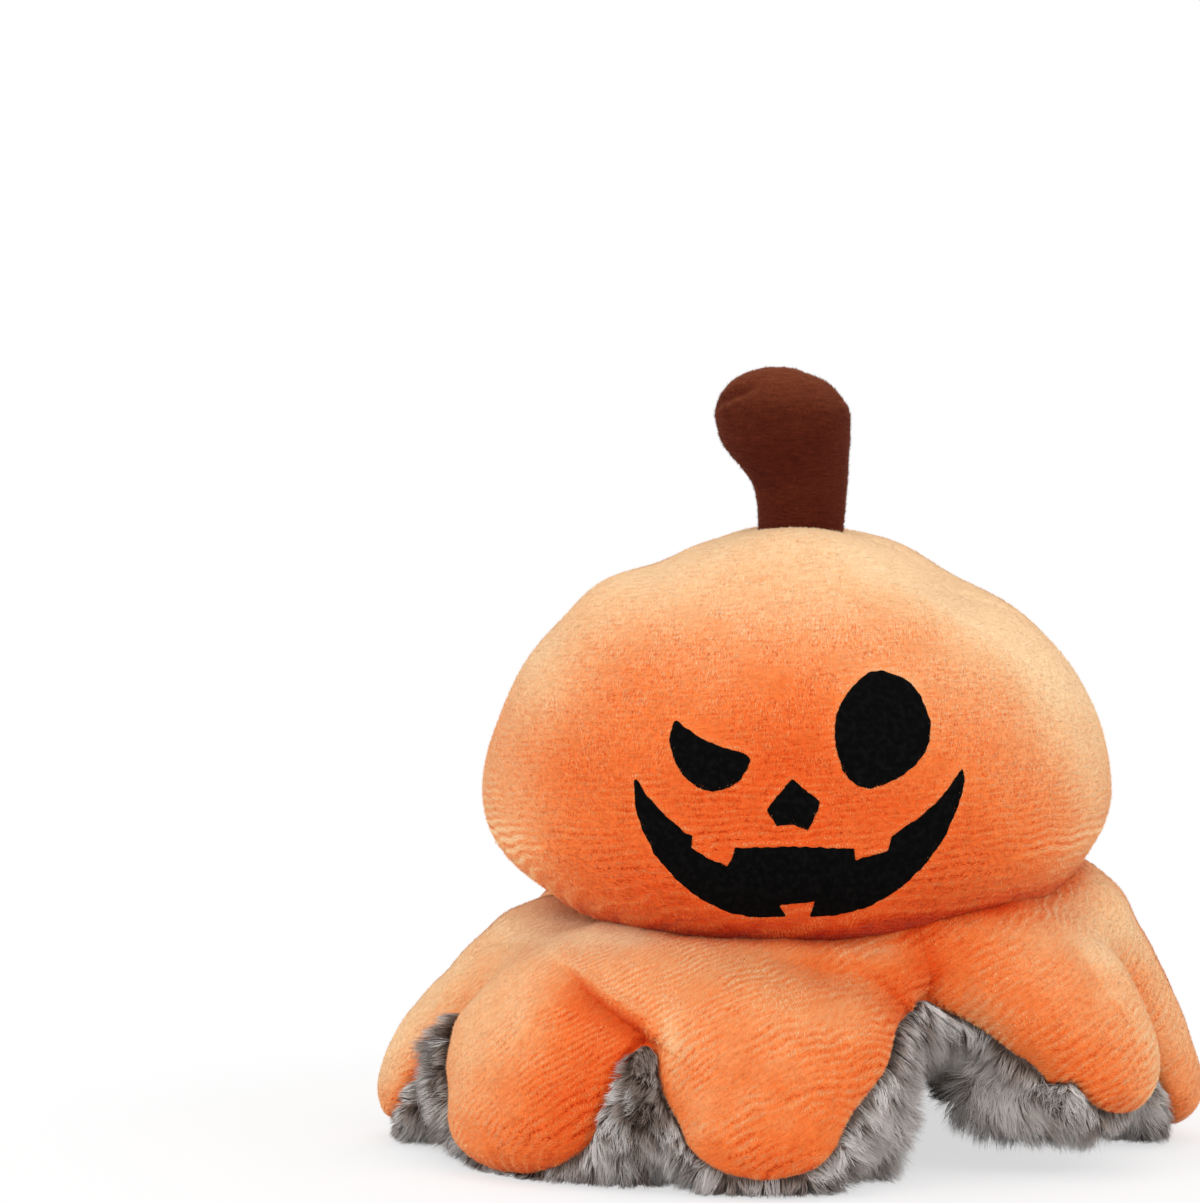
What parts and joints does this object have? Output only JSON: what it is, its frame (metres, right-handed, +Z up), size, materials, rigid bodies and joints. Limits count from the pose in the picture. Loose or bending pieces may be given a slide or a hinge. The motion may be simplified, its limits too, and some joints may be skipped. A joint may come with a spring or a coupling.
{
  "type": "reversible plush pumpkin",
  "caption": "Reversible plush toy, pumpkin side out: round orange head with a stitched lantern face, brown stem, drooping legs and a grey fur underside with a pocket.",
  "frame": {"origin": "on the floor under the middle of the toy's outline seen from above", "axes": "+Z up, -Y the way the stitched face looks, +X to the right seen from the front"},
  "size_m": [0.2007, 0.2031, 0.1884],
  "materials": {
    "orange_plush": "short soft pile",
    "grey_fur": "long clumped pile with pale tips",
    "brown_plush": "short soft pile",
    "black_stitching": "matte embroidery",
    "pink_stitching": "matte embroidery",
    "stuffing": "loose polyester fibre"
  },
  "bodies": {
    "body": {"head_front_panel": "orange_plush", "head_back_panel": "orange_plush", "head_fill": "stuffing", "pocket_lining": "grey_fur", "eye_wink_embroidery": "black_stitching", "nose_embroidery": "black_stitching", "eye_round_embroidery": "black_stitching", "mouth_embroidery": "black_stitching", "reverse_eye_patch": "black_stitching", "reverse_eye": "black_stitching", "reverse_mouth": "black_stitching", "reverse_tongue": "pink_stitching", "reverse_strap_left": "black_stitching", "reverse_strap_right": "black_stitching", "skirt_skin": "orange_plush", "skirt_fill": "stuffing", "skirt_lining": "grey_fur"},
    "stem": {"stem_skin": "brown_plush", "stem_fill": "stuffing"},
    "leg_front": {"leg_front_skin": "orange_plush", "leg_front_lining": "grey_fur", "leg_front_fill": "stuffing"},
    "leg_front_right": {"leg_front_right_skin": "orange_plush", "leg_front_right_lining": "grey_fur", "leg_front_right_fill": "stuffing"},
    "leg_right": {"leg_right_skin": "orange_plush", "leg_right_lining": "grey_fur", "leg_right_fill": "stuffing"},
    "leg_back_right": {"leg_back_right_skin": "orange_plush", "leg_back_right_lining": "grey_fur", "leg_back_right_fill": "stuffing"},
    "leg_back": {"leg_back_skin": "orange_plush", "leg_back_lining": "grey_fur", "leg_back_fill": "stuffing"},
    "leg_back_left": {"leg_back_left_skin": "orange_plush", "leg_back_left_lining": "grey_fur", "leg_back_left_fill": "stuffing"},
    "leg_left": {"leg_left_skin": "orange_plush", "leg_left_lining": "grey_fur", "leg_left_fill": "stuffing"},
    "leg_front_left": {"leg_front_left_skin": "orange_plush", "leg_front_left_lining": "grey_fur", "leg_front_left_fill": "stuffing"}
  },
  "joints": [
    {"name": "stem_tilt", "type": "hinge", "parent": "body", "child": "stem", "pos_m": [0.0012, -0.0088, 0.14972], "axis": [0, 1, 0], "range_deg": [-20, 20], "stiffness_Nm_per_rad": 0.05},
    {"name": "leg_front_flex", "type": "hinge", "parent": "body", "child": "leg_front", "pos_m": [-0.00274, -0.06149, 0.03848], "axis": [-0.9986, 0.0523, 0], "range_deg": [-12, 25], "stiffness_Nm_per_rad": 0.2},
    {"name": "leg_front_right_flex", "type": "hinge", "parent": "body", "child": "leg_front_right", "pos_m": [0.0525, -0.03334, 0.04144], "axis": [-0.5446, -0.8387, 0], "range_deg": [-12, 25], "stiffness_Nm_per_rad": 0.2},
    {"name": "leg_right_flex", "type": "hinge", "parent": "body", "child": "leg_right", "pos_m": [0.06136, 0.01225, 0.04623], "axis": [0.1908, -0.9816, 0], "range_deg": [-12, 25], "stiffness_Nm_per_rad": 0.2},
    {"name": "leg_back_right_flex", "type": "hinge", "parent": "body", "child": "leg_back_right", "pos_m": [0.03781, 0.04994, 0.05019], "axis": [0.7986, -0.6018, 0], "range_deg": [-12, 25], "stiffness_Nm_per_rad": 0.2},
    {"name": "leg_back_flex", "type": "hinge", "parent": "body", "child": "leg_back", "pos_m": [-0.00382, 0.06227, 0.05149], "axis": [0.9976, 0.0698, 0], "range_deg": [-12, 25], "stiffness_Nm_per_rad": 0.2},
    {"name": "leg_back_left_flex", "type": "hinge", "parent": "body", "child": "leg_back_left", "pos_m": [-0.0441, 0.04349, 0.04951], "axis": [0.6947, 0.7193, 0], "range_deg": [-12, 25], "stiffness_Nm_per_rad": 0.2},
    {"name": "leg_left_flex", "type": "hinge", "parent": "body", "child": "leg_left", "pos_m": [-0.0615, 0.00042, 0.04499], "axis": [0, 1, 0], "range_deg": [-12, 25], "stiffness_Nm_per_rad": 0.2},
    {"name": "leg_front_left_flex", "type": "hinge", "parent": "body", "child": "leg_front_left", "pos_m": [-0.04257, -0.04417, 0.0403], "axis": [-0.7193, 0.6947, 0], "range_deg": [-12, 25], "stiffness_Nm_per_rad": 0.2}
  ]
}
